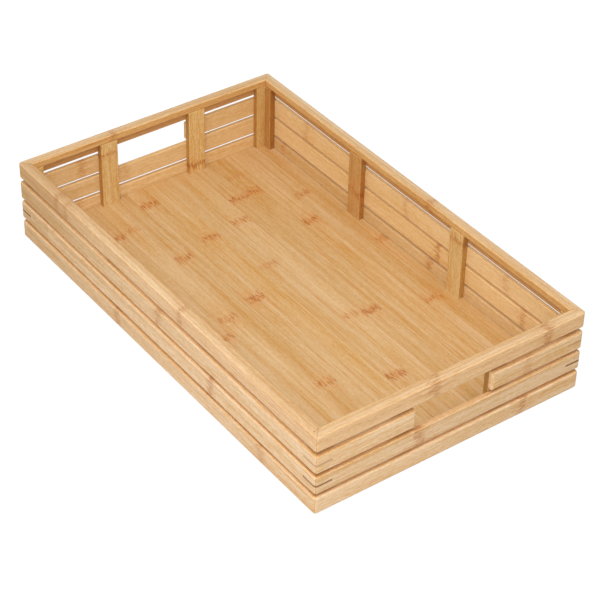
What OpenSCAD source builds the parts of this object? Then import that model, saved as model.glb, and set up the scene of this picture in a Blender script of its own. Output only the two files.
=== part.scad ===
// Bamboo serving tray.
// Four rings of mitred slats stand one above another and are held apart by battens
// and corner posts glued inside the walls. The lowest ring is grooved for a floor of
// glued staves, and the top ring is a thicker, rabbeted rail that sits on the battens.
// X runs along the tray, Y across it, Z up. The origin is on the table, under the middle.

/* [Tray] */
// Outer length of the tray
tray_l = 500; // [360:5:640]
// Outer width of the tray
tray_w = 302.5; // [240:0.5:400]

/* [Slats] */
// Thickness of every wall slat
slat_t = 5.5; // [5:0.1:9]
// Height of the two middle slat rings
slat_h = 20; // [14:0.5:30]
// Open gap below each middle ring
slat_gap = 3.5; // [2:0.1:8]
// Height of the lowest ring, which holds the floor
base_h = 19.5; // [14:0.5:30]

/* [Top rail] */
// Height of the top rail
rail_h = 18; // [15:0.5:26]
// Height of the rail's thick upper part
cap_h = 8; // [6:0.5:10]
// Open gap below the top rail
rail_gap = 4.5; // [2:0.1:8]

/* [Eased edges] */
// Rounding along the outer edges of the slats and along the top of the rail
arris_r = 2.2; // [1:0.1:2.4]
// Rounding along the outer edges of the lowest slats
base_arris_r = 2.6; // [1:0.1:3.4]
// Extra rounding of the upright outer corners, on top of the edge rounding
corner_ease = 0.8; // [0.1:0.1:1]
// Rounding along the inner edges of the slats
inner_arris_r = 1.2; // [0.5:0.1:1.5]
// Rounding along the inner top edge of the rail
rail_inner_arris_r = 1.6; // [1:0.1:2.4]
// Rounding of the slat ends beside each hand-hold, as seen from the side
end_arris_r = 2; // [1:0.1:2.5]
// Rounding of the same slat ends at the outer face, as seen from above
end_round_r = 3.5; // [1:0.1:3.7]

/* [Hand-holds] */
// Clear width of the opening in each short wall
hold_w = 85.5; // [60:0.5:120]

/* [Battens and posts] */
// Thickness of the battens and posts
batten_t = 6.2; // [4:0.1:8]
// Width of each batten
batten_w = 20; // [12:0.5:30]
// Rounding of the two edges that face into the tray
batten_arris_r = 1.2; // [0.5:0.1:2]
// How far the battens and posts stand past the rail's inner face
batten_proud = 1; // [0:0.1:2]
// How far each slat end stands past the batten beside the hand-hold
slat_overhang = 0.4; // [0:0.1:4]
// Distance between the centres of the two battens on a long wall
long_batten_spacing = 161; // [100:1:240]
// Width of the corner post on a short wall
corner_post_w = 16.5; // [12:0.5:22]
// Width of the corner post on a long wall, which butts against the other
butt_post_w = 9.5; // [6:0.5:16]

/* [Mitre keys] */
// Length of each key along the outer faces, from the corner
key_leg = 18; // [14:0.5:24]
// Thickness of each key
key_t = 2; // [1:0.1:3]
// Total play of a key in its slot
key_play = 0.1; // [0.05:0.05:0.3]

/* [Floor] */
// Thickness of the floor
floor_t = 4.5; // [3.5:0.1:7]
// Thickness of the tongue round the floor's edge, flush with its underside
tongue_t = 3; // [2:0.1:3.4]
// Height of the floor's underside above the table
floor_lift = 2; // [1.5:0.1:5]
// Width of one stave of the floor
stave_w = 20.35; // [15:0.05:40]
// Distance of the middle glue line from the tray's centre line
glue_line_shift = 8.6; // [0:0.1:12]
// Depth of the groove that holds the tongue
groove_d = 3; // [2:0.1:3.5]
// Clearance above and below the tongue in its groove
groove_play = 0.1; // [0.05:0.05:0.3]
// Room for the floor to swell between its shoulders and the walls
swell_gap = 0.5; // [0.2:0.1:1]

/* [Hidden] */
$fn = 48;

SIDES = ["front", "right", "back", "left"];
HANDS = ["near", "far"];

bamboo = [0.87, 0.71, 0.49];
warm_bamboo = [0.82, 0.63, 0.38];
dark_bamboo = [0.60, 0.40, 0.24];

rail_t = slat_t + batten_t - batten_proud;

lower_z = base_h + slat_gap;
upper_z = lower_z + slat_h + slat_gap;
rail_z = upper_z + slat_h + rail_gap;
tray_h = rail_z + rail_h;
step_z = tray_h - cap_h;

floor_top = floor_lift + floor_t;
floor_l = tray_l - 2 * (slat_t - groove_d + swell_gap);
floor_w = tray_w - 2 * (slat_t - groove_d + swell_gap);
batten_l = step_z - floor_top;
hold_batten_x = hold_w / 2 + slat_overhang + batten_w / 2;
long_batten_x = long_batten_spacing / 2;

// Glue lines on each side of the middle one, and the staves that they part
lines_front = floor((floor_w / 2 + glue_line_shift) / stave_w);
lines_back = floor((floor_w / 2 - glue_line_shift) / stave_w);
stave_count = lines_front + lines_back + 2;

// Reach of a cutting shape past the material that it cuts
over = 1;

// Length of the wall on one side; sides 0 to 3 are front, right, back and left
function side_length(side) = side % 2 == 0 ? tray_l : tray_w;
function side_depth(side) = side % 2 == 0 ? tray_w : tray_l;

// Rectangle with its four corners rounded: lower left, lower right, upper right, upper left
module eased_rectangle(size, radii) {
    corners = [[0, 0], [size.x, 0], [size.x, size.y], [0, size.y]];
    difference() {
        square(size);
        for (i = [0:3])
            if (radii[i] > 0)
                translate(corners[i])
                    rotate(90 * i)
                        difference() {
                            translate([-over, -over]) square(radii[i] + over);
                            translate([radii[i], radii[i]]) circle(radii[i]);
                        }
    }
}

// Cross-sections: the outer face lies on x = 0 and the underside on y = 0
module slat_section(height, outer_r = arris_r)
    eased_rectangle([slat_t, height], [outer_r, inner_arris_r, inner_arris_r, outer_r]);

module rail_section() {
    slat_section(rail_h);
    translate([0, rail_h - cap_h])
        eased_rectangle([rail_t, cap_h], [0, inner_arris_r, rail_inner_arris_r, arris_r]);
}

module batten_section(width)
    eased_rectangle([width, batten_t], [0, 0, batten_arris_r, batten_arris_r]);

// Stretches a cross-section along X, centred
module run_along(length)
    rotate([90, 0, 90])
        linear_extrude(length, center = true)
            children();

// One side of a ring: a bar along X with its outer face on y = 0. Its ends are mitred,
// and its outer edges turn round half of each upright corner, which is at least as
// round as the edges that run into it.
module mitred_bar(length, outer_r = arris_r) {
    corner_r = outer_r + corner_ease;
    half = length / 2;
    deep = rail_t + over;
    tall = rail_h + slat_h + base_h;
    intersection() {
        run_along(length)
            intersection() {
                children();
                translate([corner_r, -over]) square([deep, tall]);
            }
        translate([0, 0, -over])
            linear_extrude(tall)
                polygon([[-half, 0], [half, 0], [half - deep, deep], [deep - half, deep]]);
    }
    run_along(length - 2 * corner_r)
        intersection() {
            children();
            translate([0, -over]) square([corner_r, tall]);
        }
    for (end = [0, 1])
        mirror([end, 0, 0])
            translate([half - corner_r, corner_r, 0])
                rotate(-90)
                    rotate_extrude(angle = 45)
                        intersection() {
                            translate([corner_r, 0]) mirror([1, 0]) children();
                            translate([0, -over]) square([corner_r, tall]);
                        }
}

// Moves a bar from the front of a centred ring to one of its four sides
module on_side(side, z)
    rotate(90 * side)
        translate([0, -side_depth(side) / 2, z])
            children();

// Corner of a ring in plan, from which the keys are cut
module corner_plan()
    difference() {
        intersection() {
            eased_rectangle([key_leg + over, key_leg + over], [arris_r + corner_ease, 0, 0, 0]);
            polygon([[0, 0], [key_leg, 0], [0, key_leg]]);
        }
        translate([slat_t, slat_t]) square(key_leg);
    }

// Slots for the keys in both ends of a bar, at half its height
module key_slots(length)
    for (end = [-1, 1])
        translate([end * length / 2, 0, (slat_h - key_t - key_play) / 2])
            linear_extrude(key_t + key_play)
                polygon([[-end * key_leg, -over], [end * over, -over],
                         [end * over, key_leg], [0, key_leg], [-end * key_leg, 0]]);

module ring_slat(side, z)
    on_side(side, z)
        difference() {
            mitred_bar(side_length(side)) slat_section(slat_h);
            key_slots(side_length(side));
        }

module rail(side)
    color(bamboo)
        on_side(side, rail_z)
            mitred_bar(side_length(side)) rail_section();

module upper_slat(side)
    color(bamboo) ring_slat(side, upper_z);

module lower_slat(side)
    color(bamboo) ring_slat(side, lower_z);

// Half of an upper slat on a short wall: it stops, with its end eased, at the hand-hold
module hold_slat(side, hand) {
    reach = side_length(side) / 2 + over;
    color(bamboo)
        intersection() {
            ring_slat(side, upper_z);
            on_side(side, upper_z)
                mirror([hand < 0 ? 1 : 0, 0, 0])
                    translate([hold_w / 2, 0, 0])
                        intersection() {
                            linear_extrude(slat_h)
                                eased_rectangle([reach, slat_t], [end_round_r, 0, 0, inner_arris_r]);
                            translate([0, slat_t, 0])
                                rotate([90, 0, 0])
                                    linear_extrude(slat_t)
                                        eased_rectangle([reach, slat_h],
                                                        [end_arris_r, 0, 0, end_arris_r]);
                        }
        }
}

// Lowest slat, ploughed along its inner face for the floor
module base_slat(side)
    color(bamboo)
        on_side(side, 0)
            difference() {
                mitred_bar(side_length(side), base_arris_r) slat_section(base_h, base_arris_r);
                translate([-side_length(side) / 2, slat_t - groove_d, floor_lift - groove_play])
                    cube([side_length(side), groove_d + over, tongue_t + 2 * groove_play]);
            }

// Upright strip glued to the inner faces of the slats, from the floor to the rail's step
module upright(side, x, width)
    on_side(side, floor_top)
        translate([x - width / 2, slat_t, 0])
            linear_extrude(batten_l)
                batten_section(width);

module batten(side, hand)
    color(warm_bamboo)
        upright(side, hand * (side % 2 == 0 ? long_batten_x : hold_batten_x), batten_w);

// Corner posts: the short wall's post reaches the long wall, and the other butts against it
module post(side, hand) {
    butts = side % 2 == 0;
    width = butts ? butt_post_w : corner_post_w;
    inset = slat_t + (butts ? batten_t : 0);
    color(warm_bamboo)
        upright(side, hand * (side_length(side) / 2 - inset - width / 2), width);
}

// Thin keys glued across the mitres of the two middle rings
module mitre_keys()
    color(dark_bamboo)
        for (z = [lower_z, upper_z], x = [0, 1], y = [0, 1])
            mirror([x, 0, 0])
                mirror([0, y, 0])
                    translate([-tray_l / 2, -tray_w / 2, z + (slat_h - key_t) / 2])
                        linear_extrude(key_t) corner_plan();

// The floor before it is parted into staves: a panel with a tongue all round
module floor_panel()
    translate([0, 0, floor_lift]) {
        linear_extrude(tongue_t) square([floor_l, floor_w], center = true);
        linear_extrude(floor_t)
            square([floor_l - 2 * groove_d, floor_w - 2 * groove_d], center = true);
    }

// One stave of the floor; the outermost two are ripped narrower to fit the grooves
module floor_stave(i)
    color(warm_bamboo)
        intersection() {
            floor_panel();
            translate([-tray_l / 2, glue_line_shift + (i - 2 - lines_front) * stave_w, 0])
                cube([tray_l, stave_w, floor_top]);
        }

for (s = [0:3]) {
    rail(s);
    lower_slat(s);
    base_slat(s);
}
for (s = [0, 2])
    upper_slat(s);
for (s = [1, 3], h = [0, 1])
    hold_slat(s, 2 * h - 1);
for (s = [0:3], h = [0, 1]) {
    batten(s, 2 * h - 1);
    post(s, 2 * h - 1);
}
mitre_keys();
for (i = [1:stave_count])
    floor_stave(i);
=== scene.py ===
import math
import random

import bpy
from mathutils import Matrix, Vector


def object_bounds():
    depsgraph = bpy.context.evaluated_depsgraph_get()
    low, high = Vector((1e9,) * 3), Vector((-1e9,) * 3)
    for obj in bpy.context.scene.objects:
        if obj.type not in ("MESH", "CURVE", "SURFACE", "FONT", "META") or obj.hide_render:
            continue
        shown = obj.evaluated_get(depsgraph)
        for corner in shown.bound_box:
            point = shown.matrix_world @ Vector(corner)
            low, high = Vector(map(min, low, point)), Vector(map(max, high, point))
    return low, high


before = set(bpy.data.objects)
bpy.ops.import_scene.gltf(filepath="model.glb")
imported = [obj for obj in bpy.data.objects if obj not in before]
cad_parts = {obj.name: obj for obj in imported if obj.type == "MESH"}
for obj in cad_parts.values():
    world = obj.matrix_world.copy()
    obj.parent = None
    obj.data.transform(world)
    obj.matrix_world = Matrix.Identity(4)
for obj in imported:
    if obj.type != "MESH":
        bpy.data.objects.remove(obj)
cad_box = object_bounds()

# ---------------------------------------------------------------------------------------
# The lowest ring: four slats of pressed bamboo, mitred and glued at the corners. Planed,
# sanded along every edge and sprayed with a thin satin lacquer that leaves the fibres
# visible, with the darker knuckles of the cane crossing the strips here and there.
# ---------------------------------------------------------------------------------------


class Wire:
    """One output in a material's node tree: sums of wires and numbers add Math nodes."""

    def __init__(self, tree, socket=None):
        self.tree, self.socket = tree, socket

    def node(self, kind, settings=None, sockets=None, output=0):
        """Any node: its settings are set first, then its sockets' values or links."""
        made = self.tree.nodes.new(kind)
        for name, value in (settings or {}).items():
            setattr(made, name, value)
        for name, value in (sockets or {}).items():
            if isinstance(value, Wire):
                self.tree.links.new(value.socket, made.inputs[name])
            else:
                made.inputs[name].default_value = value
        return Wire(self.tree, made.outputs[output] if made.outputs else None)

    def math(self, operation, *others):
        return self.node("ShaderNodeMath", {"operation": operation},
                         dict(enumerate((self, *others))))

    def __add__(self, other):
        return self.math("ADD", other)

    def __sub__(self, other):
        return self.math("SUBTRACT", other)

    def __rsub__(self, other):
        return self.math("MULTIPLY_ADD", -1, other)

    def __mul__(self, other):
        return self.math("MULTIPLY", other)

    def __abs__(self):
        return self.math("ABSOLUTE")

    __radd__, __rmul__ = __add__, __mul__

    def ease(self, start, end, low=0.0, high=1.0):
        """low before start, high after end, and a smooth step between."""
        return self.node("ShaderNodeMapRange", {"interpolation_type": "SMOOTHSTEP"},
                         {"Value": self, "From Min": start, "From Max": end,
                          "To Min": low, "To Max": high})

    def tint(self, below, above):
        """The colour below where this wire is 0, and above where it is 1."""
        return self.node("ShaderNodeMix", {"data_type": "RGBA"},
                         {0: self, 6: below, 7: above}, output=2)

    def stain(self, colour, by):
        """The colour times by where this wire is 1."""
        return self.node("ShaderNodeMix", {"data_type": "RGBA", "blend_type": "MULTIPLY"},
                         {0: self, 6: colour, 7: by}, output=2)

    def parts(self):
        """The three numbers of a point or a direction."""
        return [self.node("ShaderNodeSeparateXYZ", {}, {0: self}, name) for name in "XYZ"]


def shade(red, green, blue):
    """A paint-chart colour, 0 to 255 a channel, as the linear colour a shader takes."""
    def linear(c):
        c /= 255
        return c / 12.92 if c <= 0.04045 else ((c + 0.055) / 1.055) ** 2.4
    return (linear(red), linear(green), linear(blue), 1.0)


def deepen(colour, amount):
    """A colour times amount, with its warmth kept: blue falls faster than red."""
    return (colour[0] * amount, colour[1] * amount ** 1.25, colour[2] * amount ** 1.6, 1.0)


HALF_L, HALF_W, HALF_HEIGHT = cad_box[1].x, cad_box[1].y, cad_box[1].z / 2

# Length along the cane and width across it of what the figure is made of: broad clouds,
# bands, straight lines, short flecks, pores, and at a knuckle its dashes, its ragged edge
# and the swirl of the fibres
CLOUD = (0.250, 0.0300)
BAND = (0.260, 0.0050)
LINE = (0.070, 0.0012)
FLECK = (0.014, 0.0010)
PORE = (0.0040, 0.0009)
DASH = (0.0070, 0.0015)
RAGGED = (0.0200, 0.0016)
SWIRL = (0.0120, 0.0060)

# Old sap, and how strong a line and a band have to be for it to show there
SAP = shade(206, 136, 64)
SAP_LINES = (0.52, 0.68)
SAP_BANDS = (0.44, 0.60)

# A knuckle, in half widths from its middle: where its brown core and the flare of fibres
# beside it start to fade and end, and how far its edge is ragged. Then how far the fibres
# swerve beside it and elsewhere, and how strongly each part is coloured.
CORE = (0.35, 1.05)
FLARE = (0.5, 4.5)
RAGGEDNESS = 3.2
SWERVE = 0.0045
WAVER = 0.0006
FLARE_TINT, CORE_TINT, DASH_TINT, PALE_TINT = 0.45, 0.60, 0.85, 0.35
KNUCKLE = shade(206, 138, 68)
KNUCKLE_DASH = shade(160, 88, 30)

# Glue: half the width of each kind of line and how strongly it shows
GLUE = shade(176, 120, 66)
SEAM_LINE, SEAM_TINT = 0.00045, 0.45
PLY_LINE, PLY_TINT = 0.0006, 0.40
MITRE_LINE, MITRE_TINT = 0.00045, 0.8

# The filled pins, and how wide the soft edge of a pin or a ply is
PIN_FILLER = shade(96, 88, 84)
PIN_RADIUS = 0.0007
SOFT_EDGE = 0.0002


def bamboo(name, along, seed, pale, deep, figure, knuckles=(), seams=None, mitred=False,
           ply=None, sides=None, steps=(), pins=(), lower=None):
    """Lacquered bamboo. along is the axis its fibres follow; figure is how strongly the
    clouds, bands, lines, flecks and pores show, and the sap in the lines; knuckles are
    (place on that axis, half width, strength); seams are the two places across it where it
    is glued to the next strips; mitred draws the glue of the corner joints; ply is (depth
    from the outer face at which a second strip is glued behind, that strip's stain, the
    further stain of its inner face); sides are (axis that the recoloured faces turn to, the
    colour they are multiplied by: painted shade on slats and rails, a darker side on
    uprights); steps are (place, half blend, amount) where the cane gets darker towards the
    low end of its axis, at a joint with a short blend and as painted shade with a long one;
    pins are (x, y, strength) of filled holes in its top; lower is (height, colour) of cane
    of another colour below."""
    material = bpy.data.materials.new(name)
    material.use_nodes = True
    tree = material.node_tree
    tree.nodes.clear()
    draw = random.Random(seed)
    root = Wire(tree)
    clouds, bands, lines, flecks, pores, sap = figure

    x, y, z = root.node("ShaderNodeTexCoord", output="Object").parts()
    u, v, w = {"X": (x, y, z), "Y": (y, x, z), "Z": (z, x, y)}[along]

    def grain(place, size, detail):
        scaled = root.node("ShaderNodeVectorMath", {"operation": "MULTIPLY_ADD"},
                           {0: place, 1: (1 / size[0], 1 / size[1], 1 / size[1]),
                            2: tuple(draw.uniform(-90, 90) for _ in range(3))})
        return root.node("ShaderNodeTexNoise", {},
                         {"Vector": scaled, "Scale": 1.0, "Detail": detail, "Roughness": 0.6})

    def point(length, width, depth):
        return root.node("ShaderNodeCombineXYZ", {}, {0: length, 1: width, 2: depth})

    # Near a knuckle the fibres swell and swirl, and further off they run nearly straight
    straight = point(u, v, w)
    swirl = grain(straight, SWIRL, 2) - 0.5
    core, flare = None, None
    if knuckles:
        ragged = (grain(straight, RAGGED, 2) - 0.5) * RAGGEDNESS + swirl
        for at, half, strength in knuckles:
            off = abs(u - at + ragged * half) * (1 / half)
            one_core = off.ease(*CORE, strength, 0.0)
            one_flare = off.ease(*FLARE, strength, 0.0)
            core = one_core if core is None else core.math("MAXIMUM", one_core)
            flare = one_flare if flare is None else flare.math("MAXIMUM", one_flare)
        sway = swirl * (flare * SWERVE + WAVER)
    else:
        sway = swirl * WAVER
    fibres = point(u, v + sway, w + sway)

    cloud = grain(fibres, CLOUD, 2)
    band = grain(fibres, BAND, 2)
    line = grain(fibres, LINE, 2)
    fleck = grain(fibres, FLECK, 2)
    pore = grain(fibres, PORE, 1)

    # Tone: all of the figure added up, and the orange of old sap in some lines
    tone = ((cloud - 0.5) * clouds + (band - 0.5) * bands + (line - 0.5) * lines
            + (fleck - 0.5) * flecks + (pore - 0.5) * pores + 0.5)
    colour = tone.tint(pale, deep)
    if lower:
        top, lower_colour = lower
        colour = z.ease(top, top + 0.001).tint(lower_colour, colour)
    if sap:
        old = line.ease(*SAP_LINES) * band.ease(*SAP_BANDS)
        colour = (old * sap).tint(colour, SAP)

    # Knuckle: a browner, ragged band of short dashes, among slightly darker fibres
    height = line * 0.5 + fleck * 0.5
    rough = (fleck - 0.5) * 0.14 + (line - 0.5) * 0.10 + 0.45
    if knuckles:
        dash = grain(fibres, DASH, 2)
        colour = (flare * line.ease(0.40, 0.60) * FLARE_TINT).tint(colour, KNUCKLE)
        colour = (core * CORE_TINT).tint(colour, KNUCKLE)
        dashes = dash.ease(0.44, 0.60) * core
        colour = (dashes * DASH_TINT).tint(colour, KNUCKLE_DASH)
        colour = (dash.ease(0.34, 0.44, 1.0, 0.0) * core * PALE_TINT).tint(colour, pale)
        height = height - dashes * 0.5 + core * 0.3
        rough = rough + core * 0.06

    for at, blend, amount in steps:
        darker = u.ease(at - blend, at + blend, 1.0, 0.0)
        colour = (darker * amount).tint(colour, deepen(deep, 0.85))

    # Painted shade on the top and bottom faces of slats and rails, and darker sides on uprights
    nx, ny, nz = root.node("ShaderNodeNewGeometry", output="Normal").parts()
    if sides:
        facing, stain = sides
        turned_faces = abs({"X": nx, "Y": ny, "Z": nz}[facing]).ease(0.55, 0.95)
        colour = turned_faces.stain(colour, stain)

    # Glue lines: where strips meet side by side or face to face, and across the mitres
    joint = None
    if seams:
        low, high = seams
        joint = (v - low).math("MINIMUM", high - v).ease(0.0, SEAM_LINE, SEAM_TINT, 0.0)
    if ply:
        thickness, ply_stain, face_stain = ply
        depth = (HALF_L - abs(x)).math("MINIMUM", HALF_W - abs(y))
        behind = depth.ease(thickness - SOFT_EDGE / 2, thickness + SOFT_EDGE / 2)
        upright_face = abs(nz).ease(0.3, 0.7, 1.0, 0.0)
        colour = behind.stain(colour, ply_stain)
        colour = (behind * upright_face).stain(colour, face_stain)
        joint = abs(depth - thickness).ease(0.0, PLY_LINE, PLY_TINT, 0.0)
    if mitred:
        gap = abs((abs(x) - HALF_L) - (abs(y) - HALF_W))
        cut = gap.ease(0.00005, MITRE_LINE, MITRE_TINT, 0.0)
        joint = cut if joint is None else joint.math("MAXIMUM", cut)
    if joint is not None:
        colour = joint.tint(colour, GLUE)
        height = height - joint * 0.8

    for px, py, dark in pins:
        apart = ((x - px) * (x - px) + (y - py) * (y - py)).math("SQRT")
        hole = (apart.ease(PIN_RADIUS - SOFT_EDGE, PIN_RADIUS + SOFT_EDGE, 1.0, 0.0)
                * nz.ease(0.5, 0.9))
        colour = (hole * dark).tint(colour, PIN_FILLER)
        height = height - hole * 1.2

    # The lacquer: satin, thin, and not quite hiding the relief of the fibres
    bump = root.node("ShaderNodeBump", {}, {"Strength": 0.15, "Distance": 0.00012,
                                            "Height": height})
    surface = root.node("ShaderNodeBsdfPrincipled", {},
                        {"Base Color": colour, "Roughness": rough, "Normal": bump,
                         "IOR": 1.5, "Specular IOR Level": 0.35, "Coat Weight": 0.06,
                         "Coat Roughness": 0.28})
    root.node("ShaderNodeOutputMaterial", {}, {"Surface": surface})
    return material


def finish(node, material):
    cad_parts[node].material_slots[0].material = material


# Which way the fibres of each wall run, and its cane: the back and left walls are of a
# calmer, slightly deeper one
RUNS = {"front": "X", "back": "X", "right": "Y", "left": "Y"}
LIVELY = (shade(250, 220, 182), shade(224, 176, 111), (0.8, 1.1, 1.3, 1.4, 1.3, 0.12))
CALM = (shade(240, 211, 165), shade(214, 169, 100), (0.8, 0.6, 0.6, 0.9, 1.0, 0.05))
CANE = {"front": LIVELY, "right": LIVELY, "back": CALM, "left": CALM}

# Painted shade on a slat's top and bottom edges, which darkens the gaps between the slats,
# and half the length over which one cane gives way to the next where two are joined end to end
SLAT_EDGE_SHADE = (0.88, 0.77, 0.63, 1)
SCARF = 0.0006

# Knuckles of each slat: place along it, half width, strength
base_knuckles = {
    "front": [(-0.070, 0.006, 0.45), (0.168, 0.006, 0.35)],
    "right": [(0.083, 0.006, 0.45)],
    "back": [(-0.213, 0.005, 0.45), (0.037, 0.006, 0.6)],
    "left": [(-0.090, 0.006, 0.3)],
}
base_tones = {"front": 0.98, "right": 0.98, "back": 0.93, "left": 1.04}
for number, (side, knuckles) in enumerate(base_knuckles.items()):
    pale, deep, figure = CANE[side]
    finish(f"base_slat_{side}",
           bamboo(f"base slat {side}", RUNS[side], 100 + number,
                  deepen(pale, base_tones[side]), deepen(deep, base_tones[side]), figure,
                  knuckles, mitred=True, sides=("Z", SLAT_EDGE_SHADE),
                  steps=[(0.178, SCARF, 0.12)] if side == "front" else ()))

# ---------------------------------------------------------------------------------------
# The floor: fifteen flat-pressed bamboo staves glued edge to edge, then planed as one
# panel. Its tongue sits in the groove of the lowest ring. Each stave keeps the tone of
# its own cane, with long warm lines of sap and strong knuckles.
# ---------------------------------------------------------------------------------------

# Stave LINE_STAVE, counted from the front, starts at LINE_Y
STAVE_W = 0.02035
LINE_STAVE, LINE_Y = 9, 0.0086
FLOOR_PALE = shade(216, 182, 137)
FLOOR_DEEP = shade(192, 140, 61)
FLOOR_FIGURE = (0.9, 1.1, 1.2, 0.9, 0.9, 0.50)

# Knuckles of each stave, counted from the front: place along it, half width, strength
floor_knuckles = {
    1: [(-0.095, 0.006, 0.7), (0.120, 0.006, 0.7)],
    2: [(-0.040, 0.006, 0.8), (0.170, 0.006, 0.7)],
    3: [(-0.150, 0.006, 0.7), (0.070, 0.006, 0.8)],
    4: [(-0.183, 0.006, 0.85), (0.012, 0.006, 0.75)],
    5: [(-0.187, 0.005, 0.4), (-0.012, 0.006, 0.6)],
    6: [(-0.117, 0.006, 0.8), (0.117, 0.006, 0.8)],
    7: [(-0.215, 0.006, 1.0), (-0.023, 0.007, 1.0)],
    8: [(-0.132, 0.006, 0.9)],
    9: [(-0.060, 0.006, 0.45), (0.147, 0.006, 0.9)],
    10: [(-0.138, 0.006, 0.75), (0.050, 0.006, 0.45)],
    11: [(-0.172, 0.006, 0.9), (0.055, 0.006, 0.8)],
    12: [(-0.175, 0.007, 0.95), (-0.207, 0.005, 0.4)],
    13: [(-0.098, 0.007, 0.95)],
    14: [(-0.143, 0.006, 0.6), (0.075, 0.006, 0.6)],
    15: [(-0.032, 0.006, 0.5)],
}
stave_tones = [1.00, 0.97, 1.02, 0.99, 1.02, 0.98, 1.00, 1.03,
               0.99, 1.02, 0.98, 0.99, 1.01, 0.97, 0.98]
for (number, knuckles), tone in zip(floor_knuckles.items(), stave_tones):
    low = LINE_Y + (number - LINE_STAVE) * STAVE_W
    finish(f"floor_stave_{number}",
           bamboo(f"floor stave {number}", "X", 200 + number, deepen(FLOOR_PALE, tone),
                  deepen(FLOOR_DEEP, tone), FLOOR_FIGURE, knuckles,
                  seams=(low, low + STAVE_W)))

# ---------------------------------------------------------------------------------------
# The two middle rings: mitred slats of the same pressed bamboo. The upper ring is open
# in the middle of each short wall, where its rounded slat ends leave room for a hand.
# ---------------------------------------------------------------------------------------

middle_knuckles = {
    "lower_slat_front": [(0.090, 0.006, 0.45)],
    "lower_slat_right": [(-0.038, 0.007, 0.5)],
    "lower_slat_back": [(0.048, 0.005, 0.6), (0.175, 0.005, 0.45)],
    "lower_slat_left": [(-0.031, 0.006, 0.25)],
    "upper_slat_front": [(0.005, 0.006, 0.35)],
    "upper_slat_back": [(-0.173, 0.006, 0.25), (-0.005, 0.006, 0.25), (0.148, 0.006, 0.25)],
    "hold_slat_right_near": [],
    "hold_slat_right_far": [(0.085, 0.005, 0.3)],
    "hold_slat_left_near": [],
    "hold_slat_left_far": [(-0.083, 0.006, 0.4)],
}
# Where a slat turns darker: at once at a joint between two canes, and slowly as painted shade
# towards the left end of the front wall
SHADE_BLEND = 0.060
darker_joints_and_shade = {
    "lower_slat_front": [(-0.198, SCARF, 0.30)],
    "upper_slat_front": [(-0.150, SHADE_BLEND, 0.50)],
}
middle_tones = {"lower_slat_right": 0.94, "upper_slat_back": 1.10, "lower_slat_back": 1.10,
                 "upper_slat_front": 0.99}
for number, (node, knuckles) in enumerate(middle_knuckles.items()):
    side = node.split("_")[2]
    tone = middle_tones.get(node, 1.0)
    pale, deep, figure = CANE[side]
    finish(node, bamboo(node.replace("_", " "), RUNS[side], 300 + number,
                        deepen(pale, tone), deepen(deep, tone), figure, knuckles,
                        mitred=True, sides=("Z", SLAT_EDGE_SHADE), steps=darker_joints_and_shade.get(node, ())))

# ---------------------------------------------------------------------------------------
# Mitre keys: thin slips of cane glued into saw cuts across the corners of the two middle
# rings, then sanded flush. The lower ones are of dark cane, the upper ones of pale cane.
# ---------------------------------------------------------------------------------------

KEY_PALE = shade(214, 172, 128)
KEY_DEEP = shade(196, 152, 106)
KEY_DARK = shade(156, 104, 60)
KEY_FIGURE = (0.0, 0.0, 0.6, 0.8, 0.8, 0.0)
finish("mitre_keys", bamboo("mitre keys", "X", 400, KEY_PALE, KEY_DEEP, KEY_FIGURE,
                            lower=(HALF_HEIGHT, KEY_DARK)))

# ---------------------------------------------------------------------------------------
# Battens and corner posts: strips of cane glued upright inside the walls. They tie the
# rings together, stand on the floor and carry the top rail. Their fibres run upwards, and
# their sides are coloured darker and browner than their faces.
# ---------------------------------------------------------------------------------------

UPRIGHT_PALE = shade(230, 202, 147)
UPRIGHT_DEEP = shade(209, 158, 78)
UPRIGHT_FIGURE = (0.8, 0.6, 0.9, 1.6, 1.7, 0.20)
# How much darker and browner the sides of the uprights are made than their faces
UPRIGHT_SIDE_TONE = (0.72, 0.60, 0.42, 1)
BROWN_PALE = shade(209, 166, 109)
BROWN_DEEP = shade(189, 130, 56)

# Tone and knuckles of each; the two far ones of the back wall are of browner cane
uprights = {
    "batten_front_near": (1.00, [(0.030, 0.005, 0.7)]),
    "batten_front_far": (0.98, [(0.062, 0.005, 0.7)]),
    "batten_right_near": (1.00, [(0.044, 0.005, 0.7)]),
    "batten_right_far": (0.97, []),
    "batten_back_near": (0.97, [(0.071, 0.004, 0.6)]),
    "batten_back_far": (1.00, [(0.037, 0.006, 0.7)]),
    "batten_left_near": (1.02, [(0.016, 0.004, 0.7)]),
    "batten_left_far": (0.99, [(0.068, 0.0025, 0.6)]),
    "post_front_near": (0.98, []),
    "post_front_far": (0.96, [(0.050, 0.005, 0.6)]),
    "post_right_near": (0.99, []),
    "post_right_far": (0.97, [(0.035, 0.005, 0.6)]),
    "post_back_near": (0.94, []),
    "post_back_far": (0.91, []),
    "post_left_near": (0.94, []),
    "post_left_far": (0.97, [(0.058, 0.005, 0.6)]),
}
for number, (node, (tone, knuckles)) in enumerate(uprights.items()):
    side = node.split("_")[1]
    brown = node.endswith("back_far")
    pale, deep = (BROWN_PALE, BROWN_DEEP) if brown else (UPRIGHT_PALE, UPRIGHT_DEEP)
    finish(node, bamboo(node.replace("_", " "), "Z", 500 + number, deepen(pale, tone),
                        deepen(deep, tone), UPRIGHT_FIGURE, knuckles,
                        sides=(RUNS[side], UPRIGHT_SIDE_TONE)))

# ---------------------------------------------------------------------------------------
# The top rail: four mitred bars of two plies, rabbeted to sit on the battens. The inner
# ply is of warmer cane. Each mitre is held by two small pins, driven in and filled.
# ---------------------------------------------------------------------------------------

RAIL_PALE = shade(249, 212, 165)
RAIL_DEEP = shade(220, 170, 110)
RAIL_FIGURE = (0.8, 0.9, 1.3, 1.3, 1.1, 0.15)
# Painted shade: the rail's top and under faces made darker and greyer than its other faces
RAIL_TOP_SHADE = (0.79, 0.81, 0.84, 1)

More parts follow.
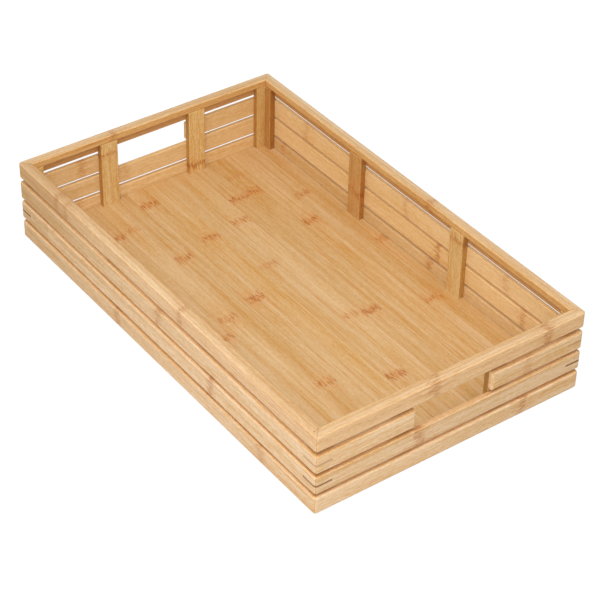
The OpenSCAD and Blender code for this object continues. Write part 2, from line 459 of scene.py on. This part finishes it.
# The outer ply's thickness, the inner ply's stain, and the further stain of its inner face
RAIL_PLY = (0.0055, (0.955, 0.90, 0.78, 1), (0.84, 0.80, 0.66, 1))
rails = {
    "front": [(-0.177, 0.005, 0.5), (-0.160, 0.004, 0.35), (0.040, 0.005, 0.4)],
    "right": [(-0.023, 0.007, 0.4), (0.107, 0.006, 0.55)],
    "back": [(0.035, 0.005, 0.4)],
    "left": [(-0.047, 0.005, 0.45)],
}
rail_pins = {
    "front": [(0.2411, -0.1437, 0.75), (0.2420, -0.1478, 0.75),
              (-0.2411, -0.1437, 0.25), (-0.2420, -0.1478, 0.25)],
    "back": [(0.2411, 0.1437, 0.35), (0.2420, 0.1478, 0.35),
             (-0.2411, 0.1437, 0.30), (-0.2420, 0.1478, 0.30)],
}
# The front rail, like the upper front slat, has painted shade that deepens towards its left end
for number, (side, knuckles) in enumerate(rails.items()):
    finish(f"rail_{side}",
           bamboo(f"rail {side}", RUNS[side], 600 + number, RAIL_PALE, RAIL_DEEP, RAIL_FIGURE,
                  knuckles, mitred=True, ply=RAIL_PLY, sides=("Z", RAIL_TOP_SHADE),
                  pins=rail_pins.get(side, ()),
                  steps=[(-0.150, SHADE_BLEND, 0.45)] if side == "front" else ()))

# ---------------------------------------------------------------------------------------
# The studio: white paper on the floor, an even white surround, and three square soft
# lamps: the strongest high in front, one high on the right, one lower between the two.
# ---------------------------------------------------------------------------------------

scene = bpy.context.scene
scene.view_settings.view_transform = "Standard"

FLOOR_HALF = 4.0
sheet = bpy.data.meshes.new("studio floor")
sheet.from_pydata([(-FLOOR_HALF, -FLOOR_HALF, 0), (FLOOR_HALF, -FLOOR_HALF, 0),
                   (FLOOR_HALF, FLOOR_HALF, 0), (-FLOOR_HALF, FLOOR_HALF, 0)], [], [(0, 1, 2, 3)])
studio_floor = bpy.data.objects.new("studio floor", sheet)
scene.collection.objects.link(studio_floor)
studio_floor.location.z = -0.0002


def seen_directly(root):
    """1 for rays that go straight to the eye, off a gloss or through glass."""
    camera, glossy, through = (root.node("ShaderNodeLightPath", output=name) for name in
                               ("Is Camera Ray", "Is Glossy Ray", "Is Transmission Ray"))
    return camera.math("MAXIMUM", glossy).math("MAXIMUM", through)


# The paper is white to the eye. A gloss sees it glow in front and to the right, and dark to
# the left and behind. Behind the tray, in a patch leaning to the left, the glow is turned down
# so that much of its matt shading shows: a painted shadow, which holds the tray's real shadow
# but is darker also where none falls. Elsewhere only a trace of its shading shows.
PAPER = (0.58, 0.55, 0.52, 1)
EYE_GLOW = 1.10
GLOSS_GLOW = 1.31
GLOW_SHARE = 0.88
SHADOW_SHARE = 0.60
SHADOW_LEAN = 1.342
SHADOW_REACH = 0.092
SHADOW_FADE = 0.100

paper = bpy.data.materials.new("studio paper")
paper.use_nodes = True
paper.node_tree.nodes.clear()
root = Wire(paper.node_tree)
paper_x, paper_y, _ = root.node("ShaderNodeTexCoord", output="Object").parts()
matt = root.node("ShaderNodeBsdfDiffuse", {}, {"Color": PAPER})
eye_glow = root.node("ShaderNodeEmission", {}, {"Color": (1, 1, 1, 1), "Strength": EYE_GLOW})
gloss_glow = root.node("ShaderNodeEmission", {}, {"Color": (1, 1, 1, 1), "Strength": GLOSS_GLOW})
dark = root.node("ShaderNodeEmission", {}, {"Color": (0, 0, 0, 1), "Strength": 0.0})
bright_side = paper_x.ease(-0.30, 0.08) * paper_y.ease(-0.12, 0.10, 1.0, 0.0)
to_eye = root.node("ShaderNodeLightPath", output="Is Camera Ray")
in_gloss = root.node("ShaderNodeMixShader", {}, {0: bright_side, 1: dark, 2: gloss_glow})
glow = root.node("ShaderNodeMixShader", {}, {0: to_eye, 1: in_gloss, 2: eye_glow})
leaning = paper_x + (paper_y - HALF_W) * SHADOW_LEAN
painted_shadow = (paper_y.ease(HALF_W - 0.030, HALF_W)
          * paper_y.ease(HALF_W + 0.010, HALF_W + SHADOW_REACH, 1.0, 0.0)
          * leaning.ease(-HALF_L, SHADOW_FADE - HALF_L)
          * leaning.ease(HALF_L - SHADOW_FADE, HALF_L, 1.0, 0.0))
share = seen_directly(root) * (GLOW_SHARE - painted_shadow * SHADOW_SHARE)
mixed = root.node("ShaderNodeMixShader", {}, {0: share, 1: matt, 2: glow})
root.node("ShaderNodeOutputMaterial", {}, {"Surface": mixed})
sheet.materials.append(paper)

surround = bpy.data.worlds.new("studio surround")
surround.use_nodes = True
surround.node_tree.nodes.clear()
scene.world = surround
root = Wire(surround.node_tree)
AMBIENT = 0.57
level = seen_directly(root) * (1 - AMBIENT) + AMBIENT
white = root.node("ShaderNodeBackground", {}, {"Color": (1, 1, 1, 1), "Strength": level})
root.node("ShaderNodeOutputWorld", {}, {"Surface": white})


LAMP_SIZE = 1.0
LAMPS_AIM = Vector((0.0, 0.0, 0.03))


def soft_lamp(name, place, power):
    lamp = bpy.data.lights.new(name, "AREA")
    lamp.shape = "SQUARE"
    lamp.size = LAMP_SIZE
    lamp.energy = power
    held = bpy.data.objects.new(name, lamp)
    held.location = place
    held.rotation_euler = (Vector(place) - LAMPS_AIM).to_track_quat("Z", "Y").to_euler()
    scene.collection.objects.link(held)


soft_lamp("key lamp", (0.5, -0.866, 1.732), 17.4)
soft_lamp("side lamp", (0.9848, -0.1736, 1.7321), 6.1)
soft_lamp("front lamp", (1.2587, -0.9485, 1.2313), 6.1)

# ---------------------------------------------------------------------------------------
# The camera: a long lens, looking down over the front right corner.
# ---------------------------------------------------------------------------------------

lens = bpy.data.cameras.new("camera")
lens.lens = 121.38
lens.sensor_width = 36.0
lens.clip_start, lens.clip_end = 0.05, 50.0
camera = bpy.data.objects.new("camera", lens)
scene.collection.objects.link(camera)
scene.camera = camera
AIM = Vector((0.0432, -0.0178, 0.0445))
EYE = Vector((1.2533, -0.9193, 1.2103))
ROLL = math.radians(1.2997)
back = (EYE - AIM).normalized()
right = Vector((-back.y, back.x, 0)).normalized()
up = back.cross(right)
across = math.cos(ROLL) * right + math.sin(ROLL) * up
upright = math.cos(ROLL) * up - math.sin(ROLL) * right
turn = Matrix((across, upright, back)).transposed().to_4x4()
camera.matrix_world = Matrix.Translation(EYE) @ turn
